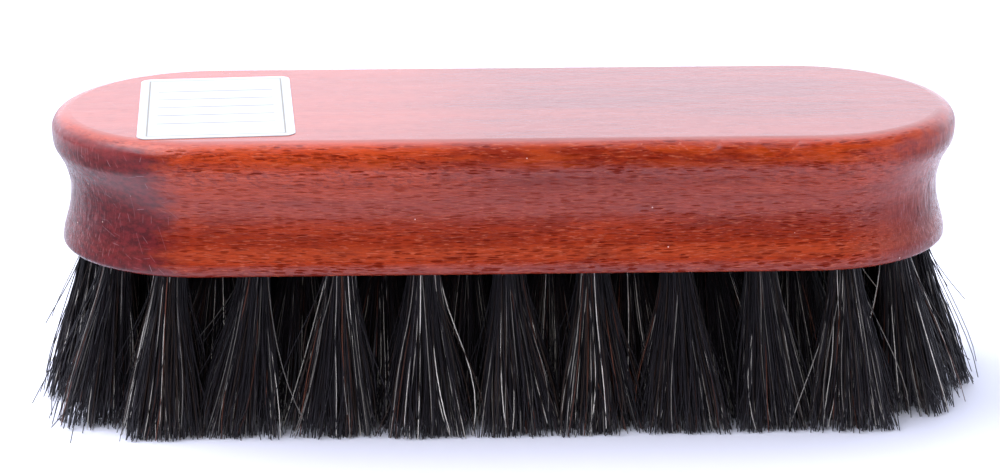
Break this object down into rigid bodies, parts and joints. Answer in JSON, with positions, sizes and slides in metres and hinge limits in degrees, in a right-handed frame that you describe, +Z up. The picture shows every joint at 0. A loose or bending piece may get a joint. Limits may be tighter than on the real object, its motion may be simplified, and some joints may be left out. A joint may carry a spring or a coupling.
{
  "type": "shoe shine brush",
  "caption": "Shoe shine brush: flat-backed wooden block with rounded ends and a finger cove all round, and rows of dark horsehair tufts, trimmed flat, stapled into its underside.",
  "frame": {"origin": "the middle of the brush on the surface that the hair tips stand on", "axes": "+X along the length of the brush, +Y across it towards the back, +Z up from the hair tips to the flat wooden top"},
  "size_m": [0.173, 0.0596, 0.0541],
  "materials": {
    "lacquered_wood": "gloss",
    "horsehair": "satin",
    "staple_wire": "satin",
    "paper": "satin"
  },
  "bodies": {
    "block": {"block": "lacquered_wood", "label": "paper", "staples_front": "staple_wire", "staples_front_inner": "staple_wire", "staples_centre": "staple_wire", "staples_back_inner": "staple_wire", "staples_back": "staple_wire", "staples_left_end": "staple_wire", "staples_right_end": "staple_wire"},
    "bristles": {"tuft_front_1": "horsehair", "tuft_front_2": "horsehair", "tuft_front_3": "horsehair", "tuft_front_4": "horsehair", "tuft_front_5": "horsehair", "tuft_front_6": "horsehair", "tuft_front_7": "horsehair", "tuft_front_8": "horsehair", "tuft_front_9": "horsehair", "tuft_front_inner_1": "horsehair", "tuft_front_inner_2": "horsehair", "tuft_front_inner_3": "horsehair", "tuft_front_inner_4": "horsehair", "tuft_front_inner_5": "horsehair", "tuft_front_inner_6": "horsehair", "tuft_front_inner_7": "horsehair", "tuft_front_inner_8": "horsehair", "tuft_centre_1": "horsehair", "tuft_centre_2": "horsehair", "tuft_centre_3": "horsehair", "tuft_centre_4": "horsehair", "tuft_centre_5": "horsehair", "tuft_centre_6": "horsehair", "tuft_centre_7": "horsehair", "tuft_centre_8": "horsehair", "tuft_centre_9": "horsehair", "tuft_back_inner_1": "horsehair", "tuft_back_inner_2": "horsehair", "tuft_back_inner_3": "horsehair", "tuft_back_inner_4": "horsehair", "tuft_back_inner_5": "horsehair", "tuft_back_inner_6": "horsehair", "tuft_back_inner_7": "horsehair", "tuft_back_inner_8": "horsehair", "tuft_back_1": "horsehair", "tuft_back_2": "horsehair", "tuft_back_3": "horsehair", "tuft_back_4": "horsehair", "tuft_back_5": "horsehair", "tuft_back_6": "horsehair", "tuft_back_7": "horsehair", "tuft_back_8": "horsehair", "tuft_back_9": "horsehair", "tuft_left_end_1": "horsehair", "tuft_left_end_2": "horsehair", "tuft_left_end_3": "horsehair", "tuft_right_end_1": "horsehair", "tuft_right_end_2": "horsehair", "tuft_right_end_3": "horsehair"}
  },
  "joints": [
    {"name": "bristle_flex", "type": "slide", "parent": "block", "child": "bristles", "axis": [1, 0, 0], "range_m": [-0.006, 0.006], "stiffness_N_per_m": 360, "deforming": ["tuft_front_1", "tuft_front_2", "tuft_front_3", "tuft_front_4", "tuft_front_5", "tuft_front_6", "tuft_front_7", "tuft_front_8", "tuft_front_9", "tuft_front_inner_1", "tuft_front_inner_2", "tuft_front_inner_3", "tuft_front_inner_4", "tuft_front_inner_5", "tuft_front_inner_6", "tuft_front_inner_7", "tuft_front_inner_8", "tuft_centre_1", "tuft_centre_2", "tuft_centre_3", "tuft_centre_4", "tuft_centre_5", "tuft_centre_6", "tuft_centre_7", "tuft_centre_8", "tuft_centre_9", "tuft_back_inner_1", "tuft_back_inner_2", "tuft_back_inner_3", "tuft_back_inner_4", "tuft_back_inner_5", "tuft_back_inner_6", "tuft_back_inner_7", "tuft_back_inner_8", "tuft_back_1", "tuft_back_2", "tuft_back_3", "tuft_back_4", "tuft_back_5", "tuft_back_6", "tuft_back_7", "tuft_back_8", "tuft_back_9", "tuft_left_end_1", "tuft_left_end_2", "tuft_left_end_3", "tuft_right_end_1", "tuft_right_end_2", "tuft_right_end_3"]}
  ]
}
